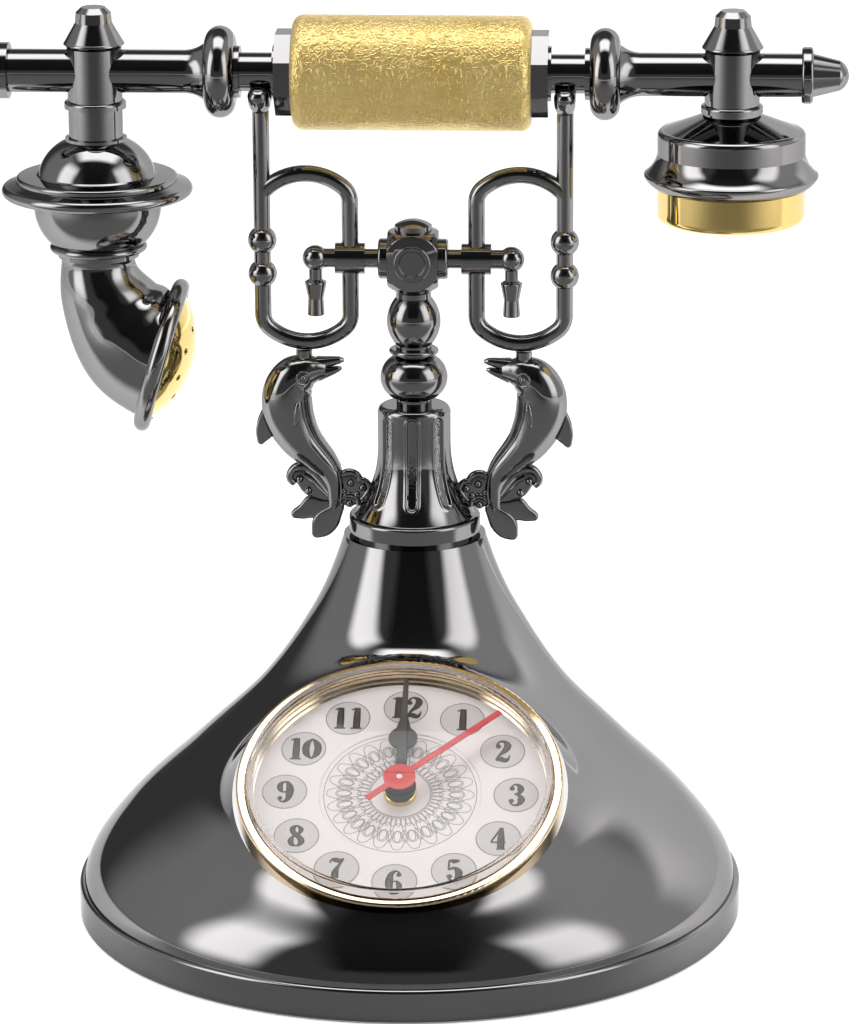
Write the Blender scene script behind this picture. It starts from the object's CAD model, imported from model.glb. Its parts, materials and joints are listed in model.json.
"""Looks of a table clock shaped like an old cradle telephone: plated finishes on the CAD pieces, and finer
pieces for the base shell, the dial, the panelled socket, the cross block, the dolphins and the grip."""

import json
import math

import bpy
from mathutils import Matrix, Vector, noise


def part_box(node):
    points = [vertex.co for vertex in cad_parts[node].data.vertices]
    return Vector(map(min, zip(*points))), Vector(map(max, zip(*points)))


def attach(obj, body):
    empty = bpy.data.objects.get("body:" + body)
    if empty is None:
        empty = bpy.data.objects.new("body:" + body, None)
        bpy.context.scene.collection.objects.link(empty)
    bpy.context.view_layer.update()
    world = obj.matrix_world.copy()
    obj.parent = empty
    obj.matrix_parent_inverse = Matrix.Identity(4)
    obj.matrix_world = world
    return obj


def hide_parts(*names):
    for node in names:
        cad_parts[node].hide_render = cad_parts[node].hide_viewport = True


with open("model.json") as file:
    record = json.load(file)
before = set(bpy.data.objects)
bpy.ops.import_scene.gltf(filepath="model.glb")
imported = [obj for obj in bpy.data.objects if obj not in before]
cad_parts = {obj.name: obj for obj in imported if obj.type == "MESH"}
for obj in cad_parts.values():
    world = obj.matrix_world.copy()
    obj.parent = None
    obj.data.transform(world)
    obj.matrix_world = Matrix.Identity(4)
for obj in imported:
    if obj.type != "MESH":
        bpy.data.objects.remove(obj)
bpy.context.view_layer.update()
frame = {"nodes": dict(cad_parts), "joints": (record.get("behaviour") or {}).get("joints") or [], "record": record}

MM = 0.001
CAD = frame["nodes"]
RECORD = frame["record"]
JOINTS = {joint["name"]: joint for joint in frame["joints"]}
PIECES = {}

# The clock's own axes, read from the arbor of its second hand
CLOCK_SPOT = Vector(JOINTS["second_turn"]["pos_m"])
CLOCK_OUT = -Vector(JOINTS["second_turn"]["axis"]).normalized()
CLOCK_RIGHT = Vector((1.0, 0.0, 0.0))
CLOCK_UP = CLOCK_OUT.cross(CLOCK_RIGHT)


def middle(node):
    low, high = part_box(node)
    return (low + high) / 2


# Scene helpers

def deselect():
    if bpy.context.mode != "OBJECT":
        bpy.ops.object.mode_set(mode="OBJECT")
    bpy.ops.object.select_all(action="DESELECT")


def active():
    return bpy.context.view_layer.objects.active


def choose(piece):
    deselect()
    piece.select_set(True)
    bpy.context.view_layer.objects.active = piece


def apply_modifier(piece, kind, **settings):
    """Add a modifier with its settings and apply it at once."""
    choose(piece)
    modifier = piece.modifiers.new(kind.title(), kind)
    for name, value in settings.items():
        setattr(modifier, name, value)
    bpy.ops.object.modifier_apply(modifier=modifier.name)


def tidy_mesh(piece, angle=40.0):
    """Close seams, point the faces outwards and shade smooth up to an angle in degrees."""
    choose(piece)
    bpy.ops.object.mode_set(mode="EDIT")
    bpy.ops.mesh.select_all(action="SELECT")
    bpy.ops.mesh.remove_doubles(threshold=0.002 * MM)
    bpy.ops.mesh.normals_make_consistent(inside=False)
    bpy.ops.object.mode_set(mode="OBJECT")
    bpy.ops.object.shade_smooth_by_angle(angle=math.radians(angle))


def formed(across, along, place):
    """Grid whose corners go to place(u, v), with u and v running from 0 to 1."""
    deselect()
    bpy.ops.mesh.primitive_grid_add(x_subdivisions=across, y_subdivisions=along, size=2.0)
    piece = active()
    for vertex in piece.data.vertices:
        vertex.co = place((vertex.co.x + 1) / 2, (vertex.co.y + 1) / 2)
    return piece


def tube(path, closed=False, smoothness=6, sides=3):
    """Round rod along a smooth path of (x, y, z, radius) points in millimetres."""
    curve = bpy.data.curves.new("path", "CURVE")
    curve.dimensions = "3D"
    curve.bevel_depth = MM
    curve.bevel_resolution = sides
    curve.resolution_u = smoothness
    curve.use_fill_caps = True
    spline = curve.splines.new("BEZIER")
    spline.bezier_points.add(len(path) - 1)
    spline.use_cyclic_u = closed
    for knot, (x, y, z, radius) in zip(spline.bezier_points, path):
        knot.co = Vector((x, y, z)) * MM
        knot.radius = radius
        knot.handle_left_type = "AUTO"
        knot.handle_right_type = "AUTO"
    return as_mesh(curve)


def fin(outline, thickness, rounding):
    """Plate with rounded edges: a smooth closed outline of (x, z) points in millimetres, thick along Y."""
    curve = bpy.data.curves.new("outline", "CURVE")
    curve.dimensions = "2D"
    curve.fill_mode = "BOTH"
    curve.extrude = (thickness / 2 - rounding) * MM
    curve.bevel_depth = rounding * MM
    curve.bevel_resolution = 3
    curve.offset = -rounding * MM
    spline = curve.splines.new("BEZIER")
    spline.bezier_points.add(len(outline) - 1)
    spline.use_cyclic_u = True
    for knot, (x, z) in zip(spline.bezier_points, outline):
        knot.co = Vector((x, z, 0.0)) * MM
        knot.handle_left_type = "AUTO"
        knot.handle_right_type = "AUTO"
    piece = as_mesh(curve)
    piece.data.transform(Matrix.Rotation(math.radians(90), 4, "X"))
    return piece


def as_mesh(curve):
    piece = bpy.data.objects.new("form", curve)
    bpy.context.scene.collection.objects.link(piece)
    choose(piece)
    bpy.ops.object.convert(target="MESH")
    return active()


def ball(spot, radius, squash=(1.0, 1.0, 1.0), turn=None):
    """Sphere in millimetres, squashed along its axes and then turned."""
    deselect()
    bpy.ops.mesh.primitive_uv_sphere_add(segments=24, ring_count=16, radius=radius * MM)
    piece = active()
    piece.data.transform(Matrix.Diagonal((*squash, 1.0)))
    if turn is not None:
        piece.data.transform(turn)
    piece.data.transform(Matrix.Translation(Vector(spot) * MM))
    return piece


def joined(pieces):
    choose(pieces[0])
    for piece in pieces:
        piece.select_set(True)
    bpy.ops.object.join()
    return active()


def settle(piece, name, finish, body, slot, *nodes):
    """Name a finished piece, give it its finish and its body, and hide the CAD nodes it stands for."""
    piece.name = name
    piece.data.name = name
    piece.data.materials.clear()
    piece.data.materials.append(finish)
    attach(piece, body)
    if nodes:
        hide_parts(*nodes)
    PIECES[name] = piece
    return piece


# Shader groups: effects that several finishes share

def new_group(name, inputs, outputs):
    """Node group with named sockets; inputs are (name, kind, default) and outputs are (name, kind)."""
    tree = bpy.data.node_groups.new(name, "ShaderNodeTree")
    for label, kind, default in inputs:
        socket = tree.interface.new_socket(label, in_out="INPUT", socket_type=kind)
        if default is not None:
            socket.default_value = default
    for label, kind in outputs:
        tree.interface.new_socket(label, in_out="OUTPUT", socket_type=kind)
    return tree, tree.nodes.new("NodeGroupInput"), tree.nodes.new("NodeGroupOutput")


def add_node(tree, kind, values=(), **settings):
    """Node with settings on itself and default values on its inputs."""
    node = tree.nodes.new(kind)
    for name, value in settings.items():
        setattr(node, name, value)
    for key, value in dict(values).items():
        node.inputs[key].default_value = value
    return node


def tone_drift_group():
    """Slow change between two tones over a surface."""
    tree, given, result = new_group(
        "Tone drift",
        [("Vector", "NodeSocketVector", None), ("Scale", "NodeSocketFloat", 20.0),
         ("Tone A", "NodeSocketColor", None), ("Tone B", "NodeSocketColor", None)],
        [("Color", "NodeSocketColor")])
    cloud = add_node(tree, "ShaderNodeTexNoise", {"Detail": 4.0, "Roughness": 0.55})
    spread = add_node(tree, "ShaderNodeMapRange", {"From Min": 0.3, "From Max": 0.7})
    blend = add_node(tree, "ShaderNodeMix", data_type="RGBA")
    tree.links.new(given.outputs["Vector"], cloud.inputs["Vector"])
    tree.links.new(given.outputs["Scale"], cloud.inputs["Scale"])
    tree.links.new(cloud.outputs["Fac"], spread.inputs["Value"])
    tree.links.new(spread.outputs["Result"], blend.inputs["Factor"])
    tree.links.new(given.outputs["Tone A"], blend.inputs["A"])
    tree.links.new(given.outputs["Tone B"], blend.inputs["B"])
    tree.links.new(blend.outputs["Result"], result.inputs["Color"])
    return tree


def handling_marks_group():
    """Roughness that rises in soft smudges and in fine hair scratches."""
    tree, given, result = new_group(
        "Handling marks",
        [("Vector", "NodeSocketVector", None), ("Scale", "NodeSocketFloat", 30.0),
         ("Clean", "NodeSocketFloat", 0.05), ("Smudged", "NodeSocketFloat", 0.12)],
        [("Roughness", "NodeSocketFloat")])
    smudge = add_node(tree, "ShaderNodeTexNoise", {"Detail": 5.0, "Roughness": 0.6, "Distortion": 0.6})
    stretch = add_node(tree, "ShaderNodeMapping", {"Scale": (1.0, 6.0, 14.0), "Rotation": (0.4, 0.7, 0.2)})
    hair = add_node(tree, "ShaderNodeTexNoise", {"Scale": 260.0, "Detail": 2.0})
    smudge_share = add_node(tree, "ShaderNodeMapRange", {"From Min": 0.42, "From Max": 0.72})
    hair_share = add_node(tree, "ShaderNodeMapRange", {"From Min": 0.62, "From Max": 0.78, "To Max": 0.5})
    joined = add_node(tree, "ShaderNodeMath", operation="MAXIMUM")
    level = add_node(tree, "ShaderNodeMapRange")
    tree.links.new(given.outputs["Vector"], smudge.inputs["Vector"])
    tree.links.new(given.outputs["Scale"], smudge.inputs["Scale"])
    tree.links.new(given.outputs["Vector"], stretch.inputs["Vector"])
    tree.links.new(stretch.outputs["Vector"], hair.inputs["Vector"])
    tree.links.new(smudge.outputs["Fac"], smudge_share.inputs["Value"])
    tree.links.new(hair.outputs["Fac"], hair_share.inputs["Value"])
    tree.links.new(smudge_share.outputs["Result"], joined.inputs[0])
    tree.links.new(hair_share.outputs["Result"], joined.inputs[1])
    tree.links.new(joined.outputs["Value"], level.inputs["Value"])
    tree.links.new(given.outputs["Clean"], level.inputs["To Min"])
    tree.links.new(given.outputs["Smudged"], level.inputs["To Max"])
    tree.links.new(level.outputs["Result"], result.inputs["Roughness"])
    return tree


def moulded_ripple_group():
    """Height of the faint waviness that plating over moulded plastic shows."""
    tree, given, result = new_group(
        "Moulded ripple",
        [("Vector", "NodeSocketVector", None), ("Scale", "NodeSocketFloat", 60.0)],
        [("Height", "NodeSocketFloat")])
    swell = add_node(tree, "ShaderNodeTexNoise", {"Detail": 1.5, "Roughness": 0.4})
    grain = add_node(tree, "ShaderNodeTexNoise", {"Scale": 1900.0, "Detail": 2.0})
    faint = add_node(tree, "ShaderNodeMath", {1: 0.012}, operation="MULTIPLY")
    total = add_node(tree, "ShaderNodeMath", operation="ADD")
    tree.links.new(given.outputs["Vector"], swell.inputs["Vector"])
    tree.links.new(given.outputs["Scale"], swell.inputs["Scale"])
    tree.links.new(given.outputs["Vector"], grain.inputs["Vector"])
    tree.links.new(grain.outputs["Fac"], faint.inputs[0])
    tree.links.new(swell.outputs["Fac"], total.inputs[0])
    tree.links.new(faint.outputs["Value"], total.inputs[1])
    tree.links.new(total.outputs["Value"], result.inputs["Height"])
    return tree


def soft_edge_group():
    """Mask of a card one unit wide and tall: full in the middle, fading out towards its four edges."""
    tree, given, result = new_group(
        "Soft edge",
        [("Vector", "NodeSocketVector", None), ("Edge X", "NodeSocketFloat", 0.3),
         ("Edge Y", "NodeSocketFloat", 0.3)],
        [("Mask", "NodeSocketFloat")])
    parts = add_node(tree, "ShaderNodeSeparateXYZ")
    tree.links.new(given.outputs["Vector"], parts.inputs["Vector"])
    fades = []
    for axis in ("X", "Y"):
        size = add_node(tree, "ShaderNodeMath", operation="ABSOLUTE")
        inside = add_node(tree, "ShaderNodeMath", {0: 0.5}, operation="SUBTRACT")
        fade = add_node(tree, "ShaderNodeMapRange", {"From Min": 0.0}, interpolation_type="SMOOTHSTEP")
        tree.links.new(parts.outputs[axis], size.inputs[0])
        tree.links.new(size.outputs["Value"], inside.inputs[1])
        tree.links.new(inside.outputs["Value"], fade.inputs["Value"])
        tree.links.new(given.outputs[f"Edge {axis}"], fade.inputs["From Max"])
        fades.append(fade)
    both = add_node(tree, "ShaderNodeMath", operation="MULTIPLY")
    for index, fade in enumerate(fades):
        tree.links.new(fade.outputs["Result"], both.inputs[index])
    tree.links.new(both.outputs["Value"], result.inputs["Mask"])
    return tree


SOFT_EDGE = soft_edge_group()
TONE_DRIFT = tone_drift_group()
HANDLING_MARKS = handling_marks_group()
MOULDED_RIPPLE = moulded_ripple_group()


# Finishes

class Finish:
    """Material with its shader and object coordinates, to which effects are added one by one."""

    def __init__(self, name, **sockets):
        self.material = bpy.data.materials.new(name)
        self.material.use_nodes = True
        self.tree = self.material.node_tree
        self.shader = self.tree.nodes["Principled BSDF"]
        self.place = self.add("ShaderNodeTexCoord").outputs["Object"]
        for socket, value in sockets.items():
            self.shader.inputs[socket.replace("_", " ")].default_value = value

    def add(self, kind, values=(), **settings):
        return add_node(self.tree, kind, values, **settings)

    def link(self, start, end):
        self.tree.links.new(start, end)

    def effect(self, group, **values):
        node = self.add("ShaderNodeGroup", node_tree=group)
        self.link(self.place, node.inputs["Vector"])
        for name, value in values.items():
            node.inputs[name.replace("_", " ")].default_value = value
        return node

    def tones(self, first, second, scale=20.0):
        node = self.effect(TONE_DRIFT, Scale=scale, Tone_A=(*first, 1.0), Tone_B=(*second, 1.0))
        self.link(node.outputs["Color"], self.shader.inputs["Base Color"])
        return node

    def marks(self, clean, smudged, scale=30.0):
        node = self.effect(HANDLING_MARKS, Scale=scale, Clean=clean, Smudged=smudged)
        self.link(node.outputs["Roughness"], self.shader.inputs["Roughness"])
        return node

    def relief(self, height, depth, strength=1.0):
        bump = self.add("ShaderNodeBump", {"Strength": strength, "Distance": depth})
        self.link(height, bump.inputs["Height"])
        self.link(bump.outputs["Normal"], self.shader.inputs["Normal"])
        return bump

    def ripple(self, depth, scale=60.0):
        return self.relief(self.effect(MOULDED_RIPPLE, Scale=scale).outputs["Height"], depth)


def black_nickel():
    finish = Finish("Black nickel plating", Metallic=1.0, Specular_Tint=(0.62, 0.62, 0.63, 1.0))
    finish.tones((0.255, 0.250, 0.250), (0.300, 0.292, 0.290), 16.0)
    finish.marks(0.035, 0.085, 26.0)
    finish.ripple(0.05 * MM, 45.0)
    return finish.material


def gold_plating():
    finish = Finish("Gold plating", Metallic=1.0)
    finish.tones((0.78, 0.57, 0.20), (0.86, 0.66, 0.28), 22.0)
    finish.marks(0.06, 0.13, 30.0)
    finish.ripple(0.04 * MM, 60.0)
    return finish.material


def hammered_gold():
    """Bright gold with short winding ridges, drawn along the level lines of a noise."""
    finish = Finish("Hammered gold plating", Metallic=0.55)
    finish.tones((0.84, 0.60, 0.19), (0.94, 0.73, 0.30), 60.0)
    finish.marks(0.30, 0.40, 50.0)
    cloud = finish.add("ShaderNodeTexNoise", {"Scale": 780.0, "Detail": 0.4, "Distortion": 0.3})
    phase = finish.add("ShaderNodeMath", {1: 28.0}, operation="MULTIPLY")
    ridge = finish.add("ShaderNodeMath", operation="SINE")
    finish.link(finish.place, cloud.inputs["Vector"])
    finish.link(cloud.outputs["Fac"], phase.inputs[0])
    finish.link(phase.outputs["Value"], ridge.inputs[0])
    finish.relief(ridge.outputs["Value"], 0.042 * MM, 0.9)
    return finish.material


def pale_gold():
    finish = Finish("Pale gold plating", Metallic=1.0)
    finish.tones((0.80, 0.62, 0.40), (0.87, 0.70, 0.48), 22.0)
    finish.marks(0.06, 0.13, 30.0)
    finish.ripple(0.03 * MM, 60.0)
    return finish.material


def clear_crystal():
    """Clear cover: shadow and diffuse rays go straight through, so the dial below it is lit."""
    finish = Finish("Clear crystal", Base_Color=(1.0, 1.0, 1.0, 1.0), Transmission_Weight=1.0, IOR=1.25)
    finish.marks(0.0, 0.02, 24.0)
    path = finish.add("ShaderNodeLightPath")
    clear = finish.add("ShaderNodeBsdfTransparent")
    passes = finish.add("ShaderNodeMath", operation="MAXIMUM")
    either = finish.add("ShaderNodeMixShader")
    finish.link(path.outputs["Is Shadow Ray"], passes.inputs[0])
    finish.link(path.outputs["Is Diffuse Ray"], passes.inputs[1])
    finish.link(passes.outputs["Value"], either.inputs["Fac"])
    finish.link(finish.shader.outputs["BSDF"], either.inputs[1])
    finish.link(clear.outputs["BSDF"], either.inputs[2])
    finish.link(either.outputs["Shader"], finish.tree.nodes["Material Output"].inputs["Surface"])
    return finish.material


def plain_finish(name, first, second, clean, smudged, metallic=0.0, depth=0.02, scale=40.0):
    """Everyday finish: two near tones, smudges and a faint moulded or machined surface."""
    finish = Finish(name, Metallic=metallic)
    finish.tones(first, second, scale)
    finish.marks(clean, smudged, scale)
    finish.ripple(depth * MM, 200.0)
    return finish.material


def wound_copper():
    """Enamelled wire laid turn by turn along the coil."""
    finish = Finish("Wound copper wire", Metallic=1.0)
    finish.tones((0.55, 0.24, 0.10), (0.72, 0.36, 0.17), 300.0)
    finish.marks(0.25, 0.40, 80.0)
    turns = finish.add("ShaderNodeTexWave", {"Scale": 2200.0, "Distortion": 0.4}, bands_direction="X")
    finish.link(finish.place, turns.inputs["Vector"])
    finish.relief(turns.outputs["Fac"], 0.1 * MM)
    return finish.material


FINISHES = {
    "black_nickel": black_nickel(),
    "gold": gold_plating(),
    "hammered_gold": hammered_gold(),
    "crystal": clear_crystal(),
    "dial": plain_finish("Dial card", (0.87, 0.80, 0.79), (0.90, 0.85, 0.84), 0.42, 0.55, depth=0.01),
    "brass": plain_finish("Turned brass", (0.70, 0.50, 0.20), (0.80, 0.60, 0.27), 0.16, 0.28, 1.0),
    "steel": plain_finish("Plated steel", (0.55, 0.56, 0.57), (0.66, 0.67, 0.68), 0.22, 0.38, 1.0),
    "case_plastic": plain_finish("Black moulding", (0.020, 0.020, 0.021), (0.032, 0.032, 0.033), 0.45, 0.62),
    "wheel_plastic": plain_finish("White moulding", (0.74, 0.73, 0.66), (0.80, 0.79, 0.73), 0.38, 0.50),
    "magnet": plain_finish("Bonded magnet", (0.09, 0.09, 0.10), (0.14, 0.14, 0.15), 0.45, 0.60),
    "copper": wound_copper(),
    "board": plain_finish("Circuit board", (0.03, 0.16, 0.06), (0.05, 0.22, 0.09), 0.30, 0.45),
    "cell": plain_finish("Cell wrap", (0.10, 0.10, 0.11), (0.14, 0.14, 0.15), 0.25, 0.36),
    "black_hand": plain_finish("Black lacquer", (0.012, 0.012, 0.012), (0.022, 0.021, 0.021), 0.30, 0.42),
    "red_hand": plain_finish("Red lacquer", (0.66, 0.035, 0.040), (0.74, 0.055, 0.055), 0.32, 0.44),
}


def ink(name, first, second, clean=0.45, smudged=0.60):
    return plain_finish(name, first, second, clean, smudged, depth=0.005)


INKS = {
    "number": ink("Number ink", (0.035, 0.031, 0.028), (0.055, 0.050, 0.046)),
    "line": ink("Line ink", (0.24, 0.22, 0.21), (0.32, 0.30, 0.29)),
    "lace": ink("Lace ink", (0.27, 0.25, 0.24), (0.35, 0.33, 0.32)),
    "disc": ink("Disc tint", (0.62, 0.58, 0.57), (0.68, 0.64, 0.63), 0.42, 0.55),
}

# Nodes whose finish differs from the rest of their slot
OWN_FINISH = {"clock_bezel": pale_gold()}


def dress_cad():
    """Every CAD node gets its own finish, or else the finish of its slot in the record."""
    for subpart in RECORD["subparts"]:
        node = CAD[subpart["node"]]
        node.data.materials.clear()
        node.data.materials.append(OWN_FINISH.get(subpart["node"]) or FINISHES[subpart["material_slot"]])


# Base shell: a bell that swells softly into the round clock seat

def smoothstep(share):
    share = min(max(share, 0.0), 1.0)
    return share * share * (3.0 - 2.0 * share)


BELL = ((0.0, 68.4), (6.0, 66.3), (15.0, 58.65), (25.0, 46.0), (36.0, 32.5), (50.0, 22.1), (67.0, 15.0))
SEAT_RADIUS = 34.2 * MM
SEAT_TOP = -3.0 * MM
SEAT_FLARE = math.tan(math.radians(32.0))
SEAT_DEPTH = 22.0 * MM
SEAT_SPARE = 2.0 * MM
BORE_RADIUS = 32.0 * MM
BORE_FLOOR = -5.1 * MM
SEAT_BLEND = 9.0 * MM
PLINTH_LIP = 3.0 * MM
SEARCH_STEPS = 34
CARVE_TALL = 60.0 * MM


def bell_curve(height):
    """Radius of the bell at a height over the plinth, on a smooth curve through its stations."""
    height = min(max(height / MM, 0.0), BELL[-1][0])
    index = next(i for i in range(len(BELL) - 1) if height <= BELL[i + 1][0])
    (z0, r0), (z1, r1) = BELL[index], BELL[index + 1]

    def slope(i):
        if i <= 0:
            return -0.12
        if i >= len(BELL) - 1:
            return (BELL[-1][1] - BELL[-2][1]) / (BELL[-1][0] - BELL[-2][0]) * 0.75
        before = (BELL[i][1] - BELL[i - 1][1]) / (BELL[i][0] - BELL[i - 1][0])
        after = (BELL[i + 1][1] - BELL[i][1]) / (BELL[i + 1][0] - BELL[i][0])
        return (before + after) / 2

    span = z1 - z0
    t = (height - z0) / span
    value = ((2 * t ** 3 - 3 * t ** 2 + 1) * r0 + (t ** 3 - 2 * t ** 2 + t) * span * slope(index)
             + (3 * t ** 2 - 2 * t ** 3) * r1 + (t ** 3 - t ** 2) * span * slope(index + 1))
    return value * MM


def base_shell():
    plinth_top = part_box("base_plate")[1].z - PLINTH_LIP
    neck_middle = middle("column_socket")
    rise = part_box("base_shell")[1].z - plinth_top

    def axis_y(height):
        return neck_middle.y * smoothstep((height / MM - BELL[1][0]) / (BELL[5][0] - BELL[1][0]))

    def gap(spot):
        """Distance-like measure: below zero inside the bell or the clock seat, with a soft join."""
        height = spot.z - plinth_top
        bell = math.hypot(spot.x, spot.y - axis_y(height)) - bell_curve(height)
        local = spot - CLOCK_SPOT
        along = local.dot(CLOCK_OUT)
        out = (local - CLOCK_OUT * along).length
        cone = (out - SEAT_RADIUS - (SEAT_TOP - along) * SEAT_FLARE) * math.cos(math.atan(SEAT_FLARE))
        seat = max(cone, SEAT_TOP - SEAT_DEPTH - along, along - SEAT_TOP - SEAT_SPARE)
        share = max(SEAT_BLEND - abs(bell - seat), 0.0) / SEAT_BLEND
        return min(bell, seat) - share ** 3 * SEAT_BLEND / 6

    def place(u, v):
        centre = Vector((0.0, axis_y(v * rise), plinth_top + v * rise))
        way = Vector((math.sin(u * math.tau), -math.cos(u * math.tau), 0.0))
        near, far = bell_curve(v * rise) * 0.9, bell_curve(v * rise) + SEAT_RADIUS * 2
        for _ in range(SEARCH_STEPS):
            mid = (near + far) / 2
            if gap(centre + way * mid) < 0:
                near = mid
            else:
                far = mid
        return centre + way * near

    shell = formed(288, 132, place)
    tidy_mesh(shell)
    choose(shell)
    bpy.ops.object.mode_set(mode="EDIT")
    bpy.ops.mesh.select_all(action="DESELECT")
    bpy.ops.mesh.select_mode(type="EDGE")
    bpy.ops.mesh.select_non_manifold()
    bpy.ops.mesh.edge_face_add()
    bpy.ops.mesh.select_all(action="SELECT")
    bpy.ops.mesh.normals_make_consistent(inside=False)
    bpy.ops.object.mode_set(mode="OBJECT")
    for radius, floor in ((SEAT_RADIUS, SEAT_TOP), (BORE_RADIUS, BORE_FLOOR)):
        carve(shell, radius, floor)
    tidy_mesh(shell, 35.0)
    settle(shell, "bell_shell", FINISHES["black_nickel"], "stand", "black_nickel", "base_shell")


def carve(piece, radius, floor):
    """Take a cylinder on the clock's axis, from a floor upwards, away from a piece."""
    deselect()
    bpy.ops.mesh.primitive_cylinder_add(vertices=192, radius=radius, depth=CARVE_TALL)
    tool = active()
    turn = Matrix((CLOCK_RIGHT, CLOCK_UP, CLOCK_OUT)).transposed().to_4x4()
    tool.data.transform(Matrix.Translation(CLOCK_SPOT + CLOCK_OUT * (floor + CARVE_TALL / 2)) @ turn)
    apply_modifier(piece, "BOOLEAN", object=tool, operation="DIFFERENCE", solver="EXACT")
    bpy.data.objects.remove(tool)


# Dial: printed numbers in discs, and a rosette of waved lines in the sunk middle

# Digits as brush strokes of (across, up, half width) points, one unit tall; a single point is a dot
DIGITS = {
    "0": [[(0.0, 0.47, 0.025), (0.2, 0.2, 0.11), (0.2, -0.2, 0.11), (0.0, -0.47, 0.025)],
          [(0.0, 0.47, 0.025), (-0.2, 0.2, 0.11), (-0.2, -0.2, 0.11), (0.0, -0.47, 0.025)]],
    "1": [[(0.03, 0.49, 0.09), (0.03, 0.0, 0.11), (0.03, -0.44, 0.11)],
          [(-0.2, -0.47, 0.03), (0.24, -0.47, 0.03)],
          [(0.02, 0.47, 0.04), (-0.2, 0.40, 0.025)]],
    "2": [[(-0.17, 0.22, 0.095)],
          [(-0.22, 0.27, 0.04), (-0.14, 0.43, 0.035), (0.02, 0.46, 0.045), (0.18, 0.3, 0.11),
           (0.12, 0.08, 0.1), (-0.1, -0.16, 0.045), (-0.25, -0.42, 0.03)],
          [(-0.24, -0.4, 0.05), (-0.06, -0.36, 0.1), (0.13, -0.41, 0.085), (0.25, -0.28, 0.03),
           (0.27, -0.17, 0.02)]],
    "3": [[(-0.16, 0.28, 0.095)],
          [(-0.2, 0.33, 0.035), (-0.08, 0.46, 0.03), (0.08, 0.44, 0.06), (0.17, 0.27, 0.11),
           (0.1, 0.08, 0.06), (-0.06, 0.03, 0.025)],
          [(-0.06, 0.03, 0.025), (0.12, -0.03, 0.06), (0.2, -0.22, 0.12), (0.1, -0.43, 0.06),
           (-0.08, -0.47, 0.03), (-0.22, -0.34, 0.035)],
          [(-0.17, -0.28, 0.095)]],
    "4": [[(0.1, 0.49, 0.06), (0.1, 0.0, 0.11), (0.1, -0.44, 0.11)],
          [(0.08, 0.46, 0.03), (-0.1, 0.15, 0.03), (-0.28, -0.16, 0.03)],
          [(-0.28, -0.17, 0.03), (0.28, -0.17, 0.03)],
          [(-0.06, -0.47, 0.03), (0.26, -0.47, 0.03)]],
    "5": [[(-0.18, 0.45, 0.04), (0.0, 0.41, 0.085), (0.2, 0.45, 0.04)],
          [(-0.19, 0.46, 0.03), (-0.2, 0.02, 0.03)],
          [(-0.2, 0.02, 0.03), (0.0, 0.11, 0.05), (0.18, -0.06, 0.12), (0.16, -0.3, 0.1),
           (0.0, -0.46, 0.035), (-0.21, -0.34, 0.035)],
          [(-0.16, -0.27, 0.095)]],
    "6": [[(0.16, 0.3, 0.09)],
          [(0.2, 0.34, 0.035), (0.08, 0.46, 0.03), (-0.1, 0.38, 0.07), (-0.19, 0.1, 0.115),
           (-0.19, -0.18, 0.115), (-0.08, -0.42, 0.06), (0.02, -0.47, 0.025)],
          [(0.02, -0.47, 0.025), (0.17, -0.34, 0.08), (0.18, -0.14, 0.09), (0.04, 0.02, 0.03),
           (-0.12, -0.06, 0.03)]],
    "7": [[(-0.25, 0.24, 0.02), (-0.23, 0.38, 0.03), (-0.08, 0.4, 0.09), (0.1, 0.37, 0.08),
           (0.25, 0.46, 0.03)],
          [(0.25, 0.45, 0.025), (0.06, 0.12, 0.05), (-0.04, -0.15, 0.1), (-0.05, -0.42, 0.12)]],
    "8": [[(0.0, 0.47, 0.025), (-0.15, 0.34, 0.085), (-0.12, 0.14, 0.085), (0.1, -0.06, 0.085),
           (0.2, -0.26, 0.1), (0.1, -0.43, 0.05), (0.0, -0.47, 0.025)],
          [(0.0, -0.47, 0.025), (-0.17, -0.37, 0.08), (-0.2, -0.2, 0.09), (-0.08, -0.01, 0.035),
           (0.1, 0.12, 0.05), (0.16, 0.28, 0.08), (0.0, 0.47, 0.025)]],
}
DIGITS["9"] = [[(-x, -y, half) for x, y, half in stroke] for stroke in DIGITS["6"]]

NUMBER_TALL = 5.9
NUMBER_RING = 23.6
DISC_RADIUS = 4.5
DIGIT_PITCH = 0.57
DIGIT_WIDTH = 0.9
STROKE_WEIGHT = 1.15
DIAL_CENTRE_DEPTH = 0.25
INK_THICKNESS = 0.02
OUTLINE_HALF = 0.09
LINE_HALF = 0.07

# Heights of the prints over the dial, in millimetres
DISC_LIFT = 0.03
OUTLINE_LIFT = 0.04
NUMBER_LIFT = 0.05
LACE_LIFT = 0.03 - DIAL_CENTRE_DEPTH

# Rosette: radii of its plain rings, and (radius, swing, waves) of its waved rings
PLAIN_RINGS = (6.2, 15.6)
WAVED_RINGS = ((7.6, 1.2, 24), (10.6, 2.6, 12), (12.6, 2.5, 12), (11.4, 1.5, 24))


def dial_level():
    """Height of the dial's face on the clock's axis, from the corner of its CAD box, in millimetres."""
    low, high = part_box("dial_plate")
    radius = (high.x - low.x) / 2
    return ((high - CLOCK_SPOT).z - radius * CLOCK_UP.z) / CLOCK_OUT.z / MM


def on_dial(piece, lift):
    """Flatten a print that was drawn in the XY plane and lay it on the dial, lifted a little off it."""
    flat = Matrix.Diagonal((1.0, 1.0, INK_THICKNESS, 1.0))
    turn = Matrix((CLOCK_RIGHT, CLOCK_UP, CLOCK_OUT)).transposed().to_4x4()
    spot = CLOCK_SPOT + CLOCK_OUT * (dial_level() + lift) * MM
    piece.data.transform(Matrix.Translation(spot) @ turn @ flat)
    return piece


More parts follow.
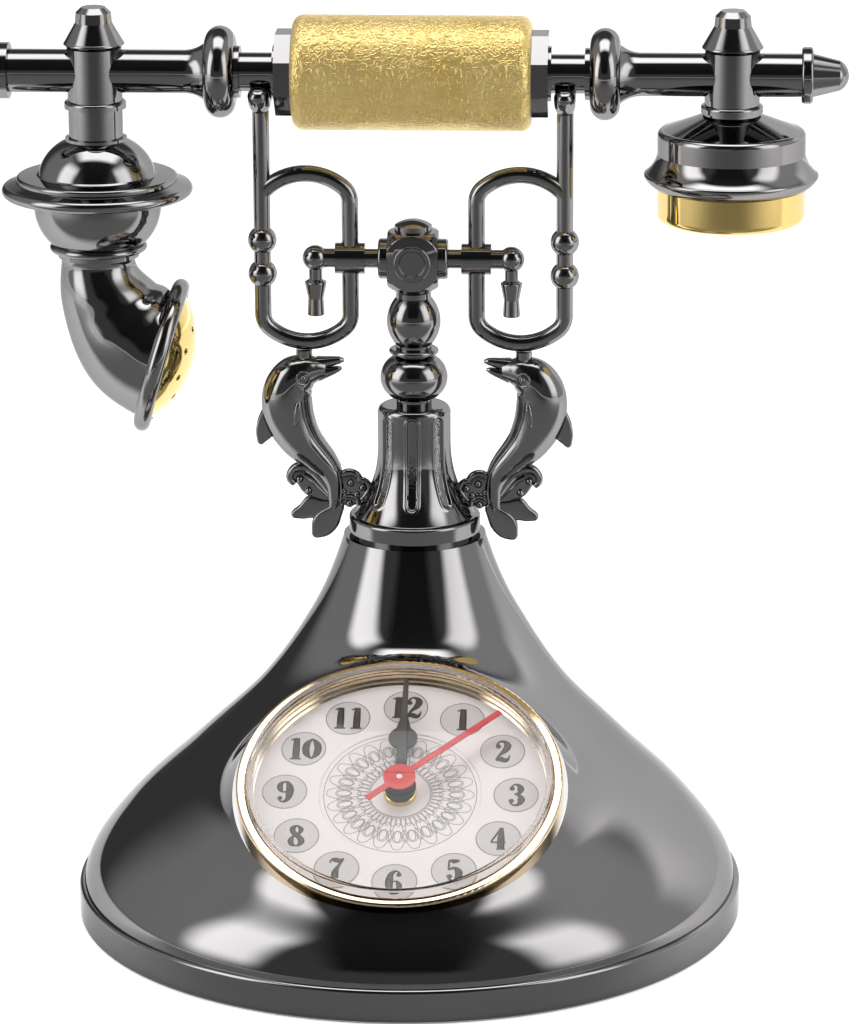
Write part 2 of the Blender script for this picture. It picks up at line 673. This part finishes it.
def brush_digit(digit, x, y, tall):
    wide = tall * DIGIT_WIDTH
    strokes = []
    for stroke in DIGITS[digit]:
        if len(stroke) == 1:
            across, up, half = stroke[0]
            strokes.append(ball((x + across * wide, y + up * tall, 0.0), half * tall))
        else:
            strokes.append(tube([(x + across * wide, y + up * tall, 0.0, half * tall * STROKE_WEIGHT)
                                 for across, up, half in stroke], sides=1))
    return strokes


def dial_print():
    numbers, discs, outlines = [], [], []
    for hour in range(1, 13):
        angle = math.radians(90 - 30 * hour)
        x, y = NUMBER_RING * math.cos(angle), NUMBER_RING * math.sin(angle)
        text = str(hour)
        for place, digit in enumerate(text):
            shift = (place - (len(text) - 1) / 2) * DIGIT_PITCH * NUMBER_TALL
            numbers += brush_digit(digit, x + shift, y, NUMBER_TALL)
        deselect()
        bpy.ops.mesh.primitive_circle_add(vertices=64, radius=DISC_RADIUS * MM, fill_type="NGON",
                                          location=(x * MM, y * MM, 0.0))
        bpy.ops.object.transform_apply(location=True)
        discs.append(active())
        outlines.append(ring_line(x, y, DISC_RADIUS, OUTLINE_HALF))
    settle(on_dial(joined(discs), DISC_LIFT), "number_discs", INKS["disc"], "stand", "dial")
    settle(on_dial(joined(outlines), OUTLINE_LIFT), "disc_outlines", INKS["line"], "stand", "dial")
    settle(on_dial(joined(numbers), NUMBER_LIFT), "hour_numbers", INKS["number"], "stand", "dial")
    rosette()


def ring_line(x, y, radius, half, waves=0, swing=0.0, phase=0.0):
    """Closed line round a spot, plain or waved."""
    count = max(24, waves * 4)
    path = []
    for step in range(count):
        turn = math.tau * step / count
        reach = radius + swing * math.cos(waves * turn + phase)
        path.append((x + reach * math.cos(turn), y + reach * math.sin(turn), 0.0, half))
    return tube(path, closed=True, smoothness=4, sides=0)


def rosette():
    """Lacework of waved rings, each pair of rings shifted by half a wave."""
    lines = [ring_line(0, 0, radius, LINE_HALF) for radius in PLAIN_RINGS]
    for radius, swing, waves in WAVED_RINGS:
        for phase in (0.0, math.pi):
            lines.append(ring_line(0, 0, radius, LINE_HALF, waves, swing, phase))
    settle(on_dial(joined(lines), LACE_LIFT), "dial_rosette", INKS["lace"], "stand", "dial")


# Handset grip: sleeve with a hammered grain

GRIP_ROUND = 2.4 * MM
GRIP_WALL = 4.0 * MM
GRIP_GRAIN = 0.05 * MM


def grip_sleeve():
    low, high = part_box("grip_sleeve")
    centre = (low + high) / 2
    half = (high.x - low.x) / 2
    radius = (high.z - low.z) / 2
    bore = radius - GRIP_WALL

    def place(u, v):
        """Along the sleeve: end face, rounded edge, straight side, rounded edge, end face."""
        across = (v - 0.5) * 2
        face, bend = 0.04, 0.10
        outer = 1 - abs(across)
        if outer < face:
            x, reach = half, bore + (radius - GRIP_ROUND - bore) * outer / face
        elif outer < bend:
            swing = (outer - face) / (bend - face) * math.pi / 2
            x = half - GRIP_ROUND * (1 - math.cos(swing))
            reach = radius - GRIP_ROUND * (1 - math.sin(swing))
        else:
            x, reach = (half - GRIP_ROUND) * (1 - outer) / (1 - bend), radius
        turn = u * math.tau
        return centre + Vector((math.copysign(x, across), reach * math.sin(turn), -reach * math.cos(turn)))

    sleeve = formed(300, 236, place)
    tidy_mesh(sleeve)
    grain = bpy.data.textures.new("Hammered grain", "CLOUDS")
    grain.noise_scale = 0.0008
    grain.noise_depth = 1
    grain.noise_type = "HARD_NOISE"
    apply_modifier(sleeve, "DISPLACE", texture=grain, texture_coords="LOCAL", strength=GRIP_GRAIN,
                   mid_level=1.0)
    tidy_mesh(sleeve, 60.0)
    settle(sleeve, "hammered_sleeve", FINISHES["hammered_gold"], "handset", "hammered_gold", "grip_sleeve")


# Column socket: bell with eight sunk panels

SOCKET_PANELS = 8
PANEL_HALF = 1.15
PANEL_LOW = 7.4
PANEL_HIGH = 26.4
PANEL_DEPTH = 0.45
PANEL_RIM = 0.14
PANEL_GRAIN = 0.05
COLLAR_RADIUS = 13.9
COLLAR_HEIGHT = 4.3
COLLAR_GAP = 0.9
SOCKET_RADIUS = 7.6
SOCKET_EDGE = 0.6
SOCKET_BORE = 3.0
SOCKET_STEPS = 210
FLARE_SHARE = 0.73
FLARE_BEND = 2.4


def socket_profile(tall):
    """Bell's outside as (radius, height) points from its foot to its top, in millimetres."""
    collar = COLLAR_RADIUS
    points = [(collar - COLLAR_GAP, 0.0), (collar - COLLAR_GAP, COLLAR_GAP), (collar, COLLAR_GAP),
              (collar, COLLAR_HEIGHT - SOCKET_EDGE)]
    for step in range(1, 7):
        swing = step / 6 * math.pi / 2
        points.append((collar - SOCKET_EDGE * (1 - math.cos(swing)),
                       COLLAR_HEIGHT - SOCKET_EDGE * (1 - math.sin(swing))))
    foot = collar - SOCKET_EDGE * 2
    flare_top = tall * FLARE_SHARE
    for step in range(57):
        share = step / 56
        points.append((SOCKET_RADIUS + (foot - SOCKET_RADIUS) * (1 - share) ** FLARE_BEND,
                       COLLAR_HEIGHT + (flare_top - COLLAR_HEIGHT) * share))
    top_edge = SOCKET_EDGE * 2
    points.append((SOCKET_RADIUS, tall - top_edge))
    for step in range(1, 9):
        swing = step / 8 * math.pi / 2
        points.append((SOCKET_RADIUS - top_edge * (1 - math.cos(swing)),
                       tall - top_edge * (1 - math.sin(swing))))
    points.append((SOCKET_BORE, tall))
    return points


def along_profile(points, count):
    """The profile again at even steps of its length."""
    lengths = [0.0]
    for (r0, z0), (r1, z1) in zip(points, points[1:]):
        lengths.append(lengths[-1] + math.hypot(r1 - r0, z1 - z0))
    result = []
    index = 0
    for step in range(count + 1):
        goal = lengths[-1] * step / count
        while index < len(points) - 2 and lengths[index + 1] < goal:
            index += 1
        share = (goal - lengths[index]) / max(lengths[index + 1] - lengths[index], 1e-9)
        (r0, z0), (r1, z1) = points[index], points[index + 1]
        result.append((r0 + (r1 - r0) * share, z0 + (z1 - z0) * share))
    return result


def column_socket():
    low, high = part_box("column_socket")
    centre = (low + high) / 2
    profile = along_profile(socket_profile((high.z - low.z) / MM), SOCKET_STEPS)
    core = (PANEL_HIGH - PANEL_LOW) / 2 - PANEL_HALF
    spread = math.tau / SOCKET_PANELS

    def place(u, v):
        radius, height = profile[min(int(v * SOCKET_STEPS + 0.5), SOCKET_STEPS)]
        turn = u * math.tau
        off = (turn + spread / 2) % spread - spread / 2
        beyond = max(abs(height - (PANEL_LOW + PANEL_HIGH) / 2) - core, 0.0)
        edge = math.hypot(off * radius, beyond) - PANEL_HALF
        sunk = smoothstep((0.1 - edge) / 0.35) * PANEL_DEPTH
        grain = PANEL_GRAIN * noise.noise(Vector((off * radius, height, turn)) * 4.0) if edge < -0.2 else 0.0
        rim = PANEL_RIM * math.exp(-((edge - 0.30) / 0.26) ** 2)
        reach = (radius - sunk + grain + rim) * MM
        return Vector((reach * math.sin(turn), centre.y - reach * math.cos(turn), low.z + height * MM))

    socket = formed(384, SOCKET_STEPS, place)
    tidy_mesh(socket, 50.0)
    settle(socket, "panelled_socket", FINISHES["black_nickel"], "stand", "black_nickel", "column_socket")


# Cross block: cube rounded off by a sphere, so that each face ends in a disc

BLOCK_BALL = 7.9
BLOCK_EDGE = 0.2 * MM
BLOCK_SPARE = Vector((0.0, 0.1, 0.0)) * MM


def cross_block():
    low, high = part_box("cross_block")
    centre = (low + high) / 2
    deselect()
    bpy.ops.mesh.primitive_cube_add(size=1.0)
    block = active()
    block.data.transform(Matrix.Translation(centre) @ Matrix.Diagonal((*(high - low - BLOCK_SPARE), 1.0)))
    deselect()
    bpy.ops.mesh.primitive_uv_sphere_add(segments=128, ring_count=64, radius=BLOCK_BALL * MM)
    sphere = active()
    sphere.data.transform(Matrix.Translation(centre))
    apply_modifier(block, "BOOLEAN", object=sphere, operation="INTERSECT", solver="EXACT")
    bpy.data.objects.remove(sphere)
    apply_modifier(block, "BEVEL", width=BLOCK_EDGE, segments=3, limit_method="ANGLE",
                   angle_limit=math.radians(20))
    tidy_mesh(block, 30.0)
    settle(block, "ball_cut_block", FINISHES["black_nickel"], "stand", "black_nickel", "cross_block")


# Dolphins: swept body with beak, eyes, fins, flukes, scrolls and berries; sizes in millimetres

# Middle line of the body as (across, up, half width, half depth) from the beak's root to the tail
DOLPHIN_BODY = (
    (-18.6, 109.5, 1.9, 1.7),
    (-20.6, 109.5, 2.7, 2.6),
    (-22.6, 109.1, 3.7, 3.5),
    (-25.0, 107.7, 4.7, 4.3),
    (-26.6, 104.9, 5.2, 4.7),
    (-26.8, 101.5, 5.4, 4.8),
    (-26.0, 98.0, 5.2, 4.6),
    (-24.0, 94.2, 4.5, 4.1),
    (-21.2, 91.0, 3.6, 3.5),
    (-18.4, 87.8, 2.9, 2.9),
    (-17.0, 84.5, 2.2, 2.4),
    (-16.8, 81.2, 1.8, 1.9),
    (-17.2, 78.8, 1.4, 1.4),
)
BACK_FIN = ((-30.9, 102.2), (-32.5, 100.0), (-33.4, 97.0), (-33.4, 94.6), (-32.7, 93.0), (-31.2, 93.8),
            (-29.6, 95.4), (-28.8, 98.0), (-29.2, 101.0))
UPPER_FLUKE = ((-16.6, 81.0), (-19.6, 81.4), (-22.4, 81.8), (-24.4, 79.8), (-26.2, 77.5), (-24.2, 76.8),
               (-21.6, 77.0), (-18.4, 76.6), (-15.8, 78.4))
LOWER_FLUKE = ((-15.4, 80.6), (-18.4, 79.6), (-21.4, 77.2), (-21.9, 74.6), (-21.6, 73.1), (-19.6, 72.9),
               (-17.2, 74.2), (-15.5, 77.4))
SCROLLS = (
    ((-17.8, 83.0, 0.9), (-19.6, 85.4, 0.95), (-21.8, 87.6, 0.95), (-24.2, 88.4, 0.85), (-26.0, 87.2, 0.75),
     (-26.3, 85.6, 0.65), (-25.4, 84.5, 0.5)),
    ((-17.8, 82.0, 0.6), (-19.8, 84.0, 0.65), (-21.8, 85.8, 0.6), (-23.4, 86.6, 0.5)),
    ((-15.6, 86.4, 0.6), (-14.2, 87.2, 0.65), (-12.4, 86.8, 0.65), (-11.4, 85.6, 0.55)),
    ((-12.2, 85.4, 0.5), (-10.6, 85.4, 0.55), (-9.6, 84.0, 0.55), (-10.2, 82.4, 0.5), (-11.2, 81.2, 0.5)),
    ((-15.4, 81.4, 0.55), (-14.0, 82.2, 0.6), (-12.3, 81.6, 0.6), (-11.7, 80.0, 0.5)),
)
SCROLL_WEIGHT = 1.25
SCROLL_LEAVES = (
    ((-17.6, 83.4), (-19.8, 85.2), (-22.2, 87.2), (-25.0, 87.6), (-26.1, 86.2), (-25.0, 84.6), (-23.6, 82.6),
     (-21.0, 81.2), (-18.4, 80.4)),
    ((-16.4, 85.6), (-14.2, 86.8), (-11.8, 86.4), (-10.0, 84.8), (-10.2, 82.0), (-12.0, 80.2), (-14.6, 79.8),
     (-16.4, 81.4)),
)
LINK = ((-16.6, 83.2, 1.1), (-14.0, 83.0, 1.2), (-11.0, 82.4, 1.1))
BERRIES = ((-24.3, 85.7, 1.0), (-22.4, 83.2, 0.95), (-13.5, 84.9, 1.0), (-11.0, 83.9, 0.95),
           (-13.8, 80.4, 1.0), (-12.2, 82.4, 0.9), (-15.0, 83.0, 0.9))
UPPER_JAW = ((-20.2, 110.7, 1.7), (-17.6, 111.2, 1.15), (-15.6, 111.5, 0.8), (-14.7, 111.5, 0.35))
LOWER_JAW = ((-20.2, 108.5, 1.7), (-17.8, 109.0, 1.05), (-16.0, 109.6, 0.7), (-15.2, 109.8, 0.3))
EYE = (-23.1, 108.4)
EYE_RADIUS = 1.35
FLIPPER = (-24.4, 4.4, 100.9)
RIDGE_TURNS = (0.16, 0.27)
NECK_STUB = ((-23.1, 0.0, 110.5, 1.9), (-23.1, 0.0, 112.2, 1.75), (-23.1, 0.0, 113.7, 1.75))


def dolphin_line(share):
    """Point of the body's middle line, its heading and its half sizes, on a curve through the stations."""
    spot = share * (len(DOLPHIN_BODY) - 1)
    index = min(int(spot), len(DOLPHIN_BODY) - 2)
    t = spot - index
    before, start, end, after = (Vector(DOLPHIN_BODY[min(max(index + step, 0), len(DOLPHIN_BODY) - 1)])
                                 for step in (-1, 0, 1, 2))
    value = (start * 2 + (end - before) * t + (before * 2 - start * 5 + end * 4 - after) * t ** 2
             + (start * 3 - before - end * 3 + after) * t ** 3) / 2
    slope = (end - before + (before * 2 - start * 5 + end * 4 - after) * 2 * t
             + (start * 3 - before - end * 3 + after) * 3 * t ** 2)
    return value, Vector((slope[0], slope[1])).normalized()


def dolphin_skin(share, turn, lift=0.0):
    """Point of the body's surface in millimetres; turn 0 is the belly side and a quarter is the front."""
    value, heading = dolphin_line(share)
    side = Vector((-heading.y, heading.x))
    across = (value[2] + lift) * math.cos(turn)
    depth = (value[3] + lift) * math.sin(turn)
    return Vector((value[0] + side.x * across, -depth, value[1] + side.y * across))


def dolphin_pieces():
    pieces = [formed(40, 84, lambda u, v: dolphin_skin(v, u * math.tau) * MM)]
    for outline, thickness in ((BACK_FIN, 1.7), (UPPER_FLUKE, 2.2), (LOWER_FLUKE, 3.0)):
        pieces.append(fin(outline, thickness, 0.6))
    for path in SCROLLS:
        pieces.append(tube([(x, -0.6, z, radius * SCROLL_WEIGHT) for x, z, radius in path]))
    for outline in SCROLL_LEAVES:
        pieces.append(fin(outline, 1.6, 0.6))
    pieces.append(tube([(x, 1.2, z, radius) for x, z, radius in LINK]))
    for x, z, radius in BERRIES:
        pieces.append(ball((x, 0.0, z), radius, (1.0, 1.7, 1.0)))
    for jaw in (UPPER_JAW, LOWER_JAW):
        pieces.append(tube([(x, 0.0, z, radius) for x, z, radius in jaw]))
    for way in (-1, 1):
        rim = [eye_rim(step / 20) for step in range(20)]
        pieces.append(tube([(x, way * (skin_depth(x, z) + 0.08), z, 0.22) for x, z in rim], closed=True))
        pieces.append(ball((EYE[0], way * (skin_depth(*EYE) - 0.1), EYE[1]), 0.65))
        across, depth, up = FLIPPER
        pieces.append(ball((across, way * depth, up), 1.0, (0.75, 0.55, 2.7), Matrix.Rotation(0.12, 4, "Y")))
        for turn in RIDGE_TURNS:
            ridge = [dolphin_skin(0.27 + 0.5 * step / 10, turn * math.pi) for step in range(11)]
            pieces.append(tube([(p.x, p.y * -way, p.z, 0.30) for p in ridge]))
    pieces.append(tube(NECK_STUB))
    return pieces


def eye_rim(share):
    turn = share * math.tau
    return EYE[0] + EYE_RADIUS * math.cos(turn), EYE[1] + EYE_RADIUS * math.sin(turn)


def skin_depth(x, z):
    """Half depth of the body over a point of its middle plane, in millimetres."""
    line = [dolphin_line(step / 200)[0] for step in range(201)]
    near = min(line, key=lambda value: math.hypot(value[0] - x, value[1] - z))
    off = min(math.hypot(near[0] - x, near[1] - z) / near[2], 1.0)
    return near[3] * math.sqrt(1.0 - off * off)


def dolphins():
    centre = middle("column_socket")
    left = joined(dolphin_pieces())
    left.data.transform(Matrix.Translation((0.0, centre.y, 0.0)))
    tidy_mesh(left, 50.0)
    choose(left)
    bpy.ops.object.duplicate()
    right = active()
    right.data.transform(Matrix.Diagonal((-1.0, 1.0, 1.0, 1.0)))
    tidy_mesh(right, 50.0)
    for piece, side in ((left, "left"), (right, "right")):
        settle(piece, f"{side}_leaping_dolphin", FINISHES["black_nickel"], "stand", "black_nickel",
               f"{side}_dolphin")


# Studio

FLOOR_LIFT = 0.58
ROOM_TONE = (0.115, 0.115, 0.117, 1.0)
AIM = (0.0, -0.02, 0.12)


def floor_paper():
    """Pale paper that glows a little to the camera and in reflections, so it reads white with a shadow."""
    paper = bpy.data.materials.new("Floor paper")
    paper.use_nodes = True
    tree = paper.node_tree
    shader = tree.nodes["Principled BSDF"]
    shader.inputs["Base Color"].default_value = (0.93, 0.93, 0.93, 1.0)
    shader.inputs["Roughness"].default_value = 0.9
    shader.inputs["Emission Color"].default_value = (1.0, 1.0, 1.0, 1.0)
    path = add_node(tree, "ShaderNodeLightPath")
    seen = add_node(tree, "ShaderNodeMath", operation="MAXIMUM")
    any_seen = add_node(tree, "ShaderNodeMath", operation="MAXIMUM")
    lift = add_node(tree, "ShaderNodeMath", {1: FLOOR_LIFT}, operation="MULTIPLY")
    tree.links.new(path.outputs["Is Camera Ray"], seen.inputs[0])
    tree.links.new(path.outputs["Is Glossy Ray"], seen.inputs[1])
    tree.links.new(seen.outputs["Value"], any_seen.inputs[0])
    tree.links.new(path.outputs["Is Transmission Ray"], any_seen.inputs[1])
    tree.links.new(any_seen.outputs["Value"], lift.inputs[0])
    tree.links.new(lift.outputs["Value"], shader.inputs["Emission Strength"])
    return paper


def lay_floor():
    deselect()
    bpy.ops.mesh.primitive_plane_add(size=6.0, location=(0, 0, -0.05 * MM))
    floor = active()
    floor.name = "floor"
    floor.data.materials.append(floor_paper())


def soft_card(name, spot, aim, size, radiance, edge=(0.3, 0.3)):
    """Glowing, clear card that faces a point and fades over a share of its width and height at each edge."""
    deselect()
    bpy.ops.mesh.primitive_plane_add(size=1.0, location=spot)
    card = active()
    card.name = name
    card.rotation_euler = (Vector(aim) - Vector(spot)).to_track_quat("Z", "Y").to_euler()
    card.scale = (*size, 1.0)
    material = bpy.data.materials.new(name)
    material.use_nodes = True
    tree = material.node_tree
    tree.nodes.clear()
    place = add_node(tree, "ShaderNodeTexCoord")
    fade = add_node(tree, "ShaderNodeGroup", node_tree=SOFT_EDGE)
    fade.inputs["Edge X"].default_value, fade.inputs["Edge Y"].default_value = edge
    level = add_node(tree, "ShaderNodeMath", {1: radiance}, operation="MULTIPLY")
    light = add_node(tree, "ShaderNodeEmission")
    clear = add_node(tree, "ShaderNodeBsdfTransparent")
    both = add_node(tree, "ShaderNodeAddShader")
    output = add_node(tree, "ShaderNodeOutputMaterial")
    tree.links.new(place.outputs["Object"], fade.inputs["Vector"])
    tree.links.new(fade.outputs["Mask"], level.inputs[0])
    tree.links.new(level.outputs["Value"], light.inputs["Strength"])
    tree.links.new(light.outputs["Emission"], both.inputs[0])
    tree.links.new(clear.outputs["BSDF"], both.inputs[1])
    tree.links.new(both.outputs["Shader"], output.inputs["Surface"])
    card.data.materials.append(material)
    card.visible_camera = False


def dark_flag(name, spot, aim, size, edge, tone):
    """Dark cloth that faces a point, fading out at its edges and seen only in reflections."""
    deselect()
    bpy.ops.mesh.primitive_plane_add(size=1.0, location=spot)
    flag = active()
    flag.name = name
    flag.rotation_euler = (Vector(aim) - Vector(spot)).to_track_quat("Z", "Y").to_euler()
    flag.scale = (*size, 1.0)
    cloth = bpy.data.materials.new(name)
    cloth.use_nodes = True
    tree = cloth.node_tree
    shader = tree.nodes["Principled BSDF"]
    shader.inputs["Base Color"].default_value = (tone, tone, tone, 1.0)
    shader.inputs["Roughness"].default_value = 0.9
    place = add_node(tree, "ShaderNodeTexCoord")
    fade = add_node(tree, "ShaderNodeGroup", node_tree=SOFT_EDGE)
    fade.inputs["Edge X"].default_value, fade.inputs["Edge Y"].default_value = edge
    clear = add_node(tree, "ShaderNodeBsdfTransparent")
    either = add_node(tree, "ShaderNodeMixShader")
    tree.links.new(place.outputs["Object"], fade.inputs["Vector"])
    tree.links.new(fade.outputs["Mask"], either.inputs["Fac"])
    tree.links.new(clear.outputs["BSDF"], either.inputs[1])
    tree.links.new(shader.outputs["BSDF"], either.inputs[2])
    tree.links.new(either.outputs["Shader"], tree.nodes["Material Output"].inputs["Surface"])
    flag.data.materials.append(cloth)
    flag.visible_camera = False
    flag.visible_diffuse = False
    flag.visible_shadow = False


def dim_room():
    """World that lights the clock dimly and is white to the camera."""
    world = bpy.data.worlds.new("Dim room")
    world.use_nodes = True
    tree = world.node_tree
    path = add_node(tree, "ShaderNodeLightPath")
    tone = add_node(tree, "ShaderNodeMix", {"A": ROOM_TONE, "B": (1.0, 1.0, 1.0, 1.0)}, data_type="RGBA")
    tree.links.new(path.outputs["Is Camera Ray"], tone.inputs["Factor"])
    tree.links.new(tone.outputs["Result"], tree.nodes["Background"].inputs["Color"])
    return world


def studio():
    lay_floor()
    soft_card("overhead_card", (0.0, 0.03, 0.95), (0.0, 0.03, 0.0), (1.10, 0.66), 3.4, (0.25, 0.3))
    soft_card("back_card", (0.6, 1.5, 0.50), (0.0, 0.0, 0.15), (3.6, 1.6), 1.1, (0.35, 0.2))
    for name, way, key, fill in (("left", -1, 2.6, 0.36), ("right", 1, 2.0, 0.48)):
        soft_card(f"{name}_key_card", (way * 0.80, -0.40, 0.50), AIM, (0.72, 1.20), key, (0.32, 0.30))
        soft_card(f"{name}_fill_card", (way * 1.15, 0.10, 0.66), AIM, (2.4, 2.0), fill, (0.30, 0.2))
    dark_flag("floor_flag", (0.0, -0.85, 0.5 * MM), (0.0, -0.85, 1.0), (2.3, 1.7), (0.42, 0.04), 0.32)
    dark_flag("front_flag", (0.0, -0.95, 1.10), AIM, (1.7, 2.1), (0.25, 0.15), 0.02)
    bpy.context.scene.world = dim_room()
    bpy.context.scene.view_settings.view_transform = "Standard"


# Camera at the photograph's angle; sizes of the picture in pixels
PICTURE_TALL = 1024.0
FOCAL_PIXELS = 5039.6
CAMERA_SPOT = (61.05 * MM, -998.13 * MM, 376.97 * MM)
CAMERA_HEADING = 3.258
CAMERA_DOWN = 16.241
CAMERA_ROLL = -0.27


def place_camera():
    lens = bpy.data.cameras.new("photograph_camera")
    lens.sensor_fit = "VERTICAL"
    lens.sensor_height = 36.0
    lens.lens = FOCAL_PIXELS / PICTURE_TALL * lens.sensor_height
    lens.clip_start = 0.05
    holder = bpy.data.objects.new("photograph_camera", lens)
    turn = (Matrix.Rotation(math.radians(CAMERA_HEADING), 4, "Z")
            @ Matrix.Rotation(math.radians(90 - CAMERA_DOWN), 4, "X")
            @ Matrix.Rotation(math.radians(CAMERA_ROLL), 4, "Z"))
    holder.matrix_world = Matrix.Translation(CAMERA_SPOT) @ turn
    bpy.context.scene.collection.objects.link(holder)
    bpy.context.scene.camera = holder


dress_cad()
base_shell()
dial_print()
grip_sleeve()
column_socket()
cross_block()
dolphins()
studio()
place_camera()

deselect()
